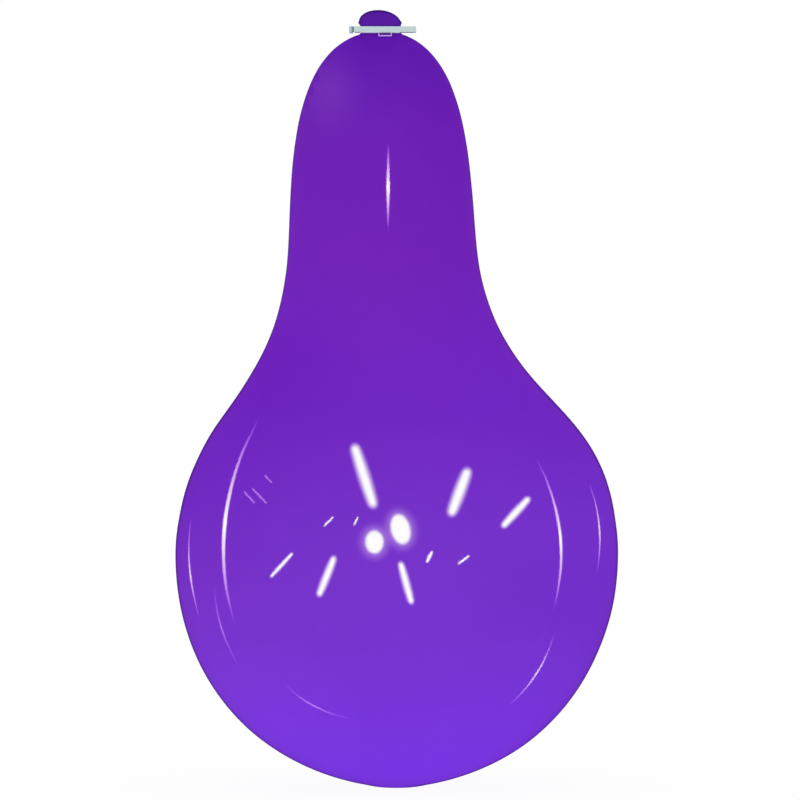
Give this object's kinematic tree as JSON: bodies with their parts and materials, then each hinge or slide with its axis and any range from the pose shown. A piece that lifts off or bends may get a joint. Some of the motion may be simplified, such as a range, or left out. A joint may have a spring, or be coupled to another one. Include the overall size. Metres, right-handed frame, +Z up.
{
  "type": "floating pool light",
  "caption": "Inflated latex balloon light for a pool: tall pear-shaped balloon, hinged neck clip, and a ballasted battery light puck with lens loose inside.",
  "frame": {"origin": "centre of the flat patch at the bottom of the balloon, where it rests on a flat surface", "axes": "+Z up the balloon to the neck and its mouth, +X along the sealing clip away from its hinge, -Y the side the clip's front arm faces"},
  "size_m": [0.4056, 0.4056, 0.7119],
  "materials": {
    "envelope_latex": "gloss",
    "clip_plastic": "satin",
    "pin_steel": "satin",
    "housing_plastic": "satin",
    "door_plastic": "satin",
    "seal_silicone": "satin",
    "cell_can": "polished",
    "contact_metal": "polished",
    "ballast_steel": "satin",
    "board_laminate": "satin",
    "led_case": "satin",
    "chip_epoxy": "matte",
    "capacitor_ceramic": "matte",
    "switch_plastic": "matte",
    "plunger_plastic": "satin",
    "button_silicone": "matte",
    "reflector_plastic": "gloss",
    "lens_plastic": "satin",
    "screw_steel": "polished"
  },
  "bodies": {
    "envelope": {"balloon_envelope": "envelope_latex", "clip_back_arm": "clip_plastic", "clip_hinge_pin": "pin_steel"},
    "clip_arm": {"clip_front_arm": "clip_plastic"},
    "light_unit": {"base_housing": "housing_plastic", "battery_cell_lower": "cell_can", "battery_cell_upper": "cell_can", "battery_spring": "contact_metal", "positive_strip": "contact_metal", "ballast_ring": "ballast_steel", "circuit_board": "board_laminate", "led_1": "led_case", "led_2": "led_case", "led_3": "led_case", "driver_chip": "chip_epoxy", "resistor": "chip_epoxy", "capacitor": "capacitor_ceramic", "switch_body": "switch_plastic", "reflector": "reflector_plastic", "lens_dome": "lens_plastic", "lens_seal": "seal_silicone", "board_screw_1": "screw_steel", "board_screw_2": "screw_steel", "board_screw_3": "screw_steel"},
    "door": {"battery_door": "door_plastic", "door_seal": "seal_silicone"},
    "button": {"power_button": "button_silicone"},
    "plunger": {"switch_plunger": "plunger_plastic"}
  },
  "joints": [
    {"name": "clip_hinge", "type": "hinge", "parent": "envelope", "child": "clip_arm", "pos_m": [-0.0411, 0, 0.6942], "axis": [0, 0, -1], "range_deg": [0, 100]},
    {"name": "light_slide", "type": "slide", "parent": "envelope", "child": "light_unit", "axis": [0, 0, 1], "range_m": [0, 0.6]},
    {"name": "door_turn", "type": "hinge", "parent": "light_unit", "child": "door", "pos_m": [0, 0, 0.002], "axis": [0, 0, 1], "range_deg": [0, 45]},
    {"name": "button_press", "type": "slide", "parent": "light_unit", "child": "button", "axis": [-1, 0, 0], "range_m": [0, 0.0005]},
    {"name": "plunger_press", "type": "slide", "parent": "light_unit", "child": "plunger", "axis": [-1, 0, 0], "range_m": [0, 0.0005]}
  ],
  "couplings": [
    {"joint": "plunger_press", "follows": "button_press", "ratio": 1}
  ]
}
